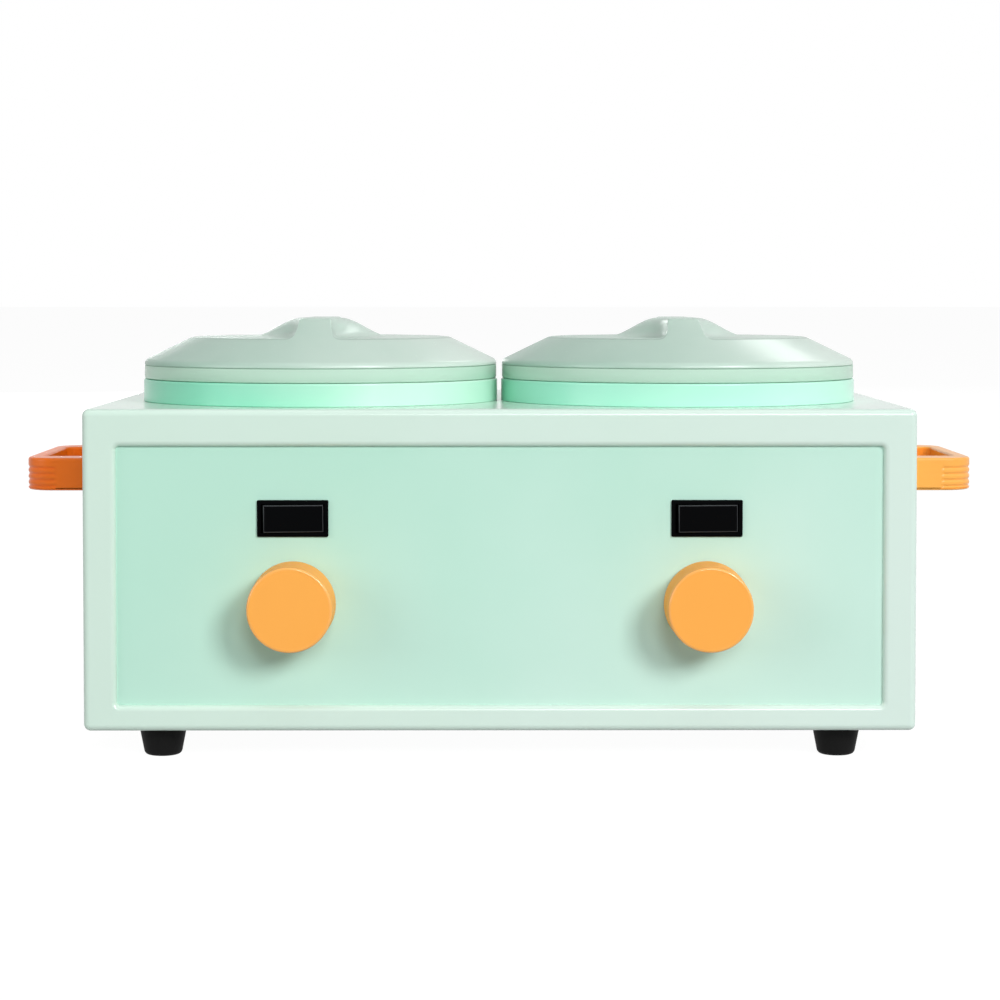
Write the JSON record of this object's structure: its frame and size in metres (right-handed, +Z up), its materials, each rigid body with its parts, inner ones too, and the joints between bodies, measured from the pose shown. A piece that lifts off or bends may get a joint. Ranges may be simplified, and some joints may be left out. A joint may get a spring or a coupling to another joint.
{
  "type": "double sugaring warmer",
  "caption": "Counter-top double paste warmer: low mint case with two lidded lift-out pots, a rocker switch and heat knob for each, side handles and rubber feet",
  "frame": {"origin": "on the table, under the middle of the object's box", "axes": "+X to the user's right, +Y from the front panel to the back, +Z up"},
  "size_m": [0.4308, 0.2452, 0.1908],
  "materials": {
    "case_plastic": "glossy moulded, pale mint",
    "panel_plastic": "satin moulded, mint",
    "collar_plastic": "glossy moulded, bright mint",
    "lid_plastic": "frosted translucent",
    "orange_plastic": "satin moulded, orange",
    "black_plastic": "black moulded",
    "foot_rubber": "matt rubber",
    "pot_aluminium": "spun and satin anodised",
    "plated_steel": "zinc plated",
    "heater_steel": "rolled sheet over mica",
    "brown_bakelite": "moulded phenolic",
    "terminal_ceramic": "moulded, cream",
    "brown_lead": "sleeved wire, brown",
    "blue_lead": "sleeved wire, blue",
    "green_lead": "sleeved wire, green"
  },
  "bodies": {
    "case": {"housing": "case_plastic", "front_panel": "panel_plastic", "base_plate": "case_plastic", "power_inlet": "black_plastic", "terminal_block": "terminal_ceramic", "foot_front_left": "foot_rubber", "foot_screw_front_left": "plated_steel", "handle_screw_front_left": "plated_steel", "foot_front_right": "foot_rubber", "foot_screw_front_right": "plated_steel", "handle_screw_front_right": "plated_steel", "foot_back_left": "foot_rubber", "foot_screw_back_left": "plated_steel", "handle_screw_back_left": "plated_steel", "foot_back_right": "foot_rubber", "foot_screw_back_right": "plated_steel", "handle_screw_back_right": "plated_steel", "inlet_blade_line": "plated_steel", "inlet_blade_neutral": "plated_steel", "inlet_blade_earth": "plated_steel", "collar_left": "collar_plastic", "well_left": "pot_aluminium", "heater_band_left": "heater_steel", "thermal_cutout_left": "brown_bakelite", "thermostat_left": "brown_bakelite", "thermostat_nut_left": "plated_steel", "switch_body_left": "black_plastic", "handle_left": "orange_plastic", "collar_right": "collar_plastic", "well_right": "pot_aluminium", "heater_band_right": "heater_steel", "thermal_cutout_right": "brown_bakelite", "thermostat_right": "brown_bakelite", "thermostat_nut_right": "plated_steel", "switch_body_right": "black_plastic", "handle_right": "orange_plastic", "lead_mains_line": "brown_lead", "lead_mains_neutral": "blue_lead", "lead_mains_earth": "green_lead", "lead_supply_left": "brown_lead", "lead_control_left": "brown_lead", "lead_cutout_left": "brown_lead", "lead_heater_left": "brown_lead", "lead_return_left": "blue_lead", "lead_supply_right": "brown_lead", "lead_control_right": "brown_lead", "lead_cutout_right": "brown_lead", "lead_heater_right": "brown_lead", "lead_return_right": "blue_lead"},
    "knob_left": {"knob_left": "orange_plastic", "knob_shaft_left": "plated_steel"},
    "rocker_left": {"rocker_left": "black_plastic"},
    "pot_left": {"pot_left": "pot_aluminium"},
    "lid_left": {"lid_left": "lid_plastic"},
    "knob_right": {"knob_right": "orange_plastic", "knob_shaft_right": "plated_steel"},
    "rocker_right": {"rocker_right": "black_plastic"},
    "pot_right": {"pot_right": "pot_aluminium"},
    "lid_right": {"lid_right": "lid_plastic"}
  },
  "joints": [
    {"name": "knob_left_turn", "type": "hinge", "parent": "case", "child": "knob_left", "pos_m": [-0.0894, -0.0995, 0.068], "axis": [0, 1, 0], "range_deg": [0, 270]},
    {"name": "rocker_left_tip", "type": "hinge", "parent": "case", "child": "rocker_left", "pos_m": [-0.0894, -0.0981, 0.1051], "axis": [0, 0, 1], "range_deg": [0, 12]},
    {"name": "pot_left_lift", "type": "slide", "parent": "case", "child": "pot_left", "axis": [0, 0, 1], "range_m": [0, 0.12]},
    {"name": "lid_left_lift", "type": "slide", "parent": "pot_left", "child": "lid_left", "axis": [0, 0, 1], "range_m": [0, 0.06]},
    {"name": "knob_right_turn", "type": "hinge", "parent": "case", "child": "knob_right", "pos_m": [0.0894, -0.0995, 0.068], "axis": [0, 1, 0], "range_deg": [0, 270]},
    {"name": "rocker_right_tip", "type": "hinge", "parent": "case", "child": "rocker_right", "pos_m": [0.0894, -0.0981, 0.1051], "axis": [0, 0, 1], "range_deg": [0, 12]},
    {"name": "pot_right_lift", "type": "slide", "parent": "case", "child": "pot_right", "axis": [0, 0, 1], "range_m": [0, 0.12]},
    {"name": "lid_right_lift", "type": "slide", "parent": "pot_right", "child": "lid_right", "axis": [0, 0, 1], "range_m": [0, 0.06]}
  ]
}
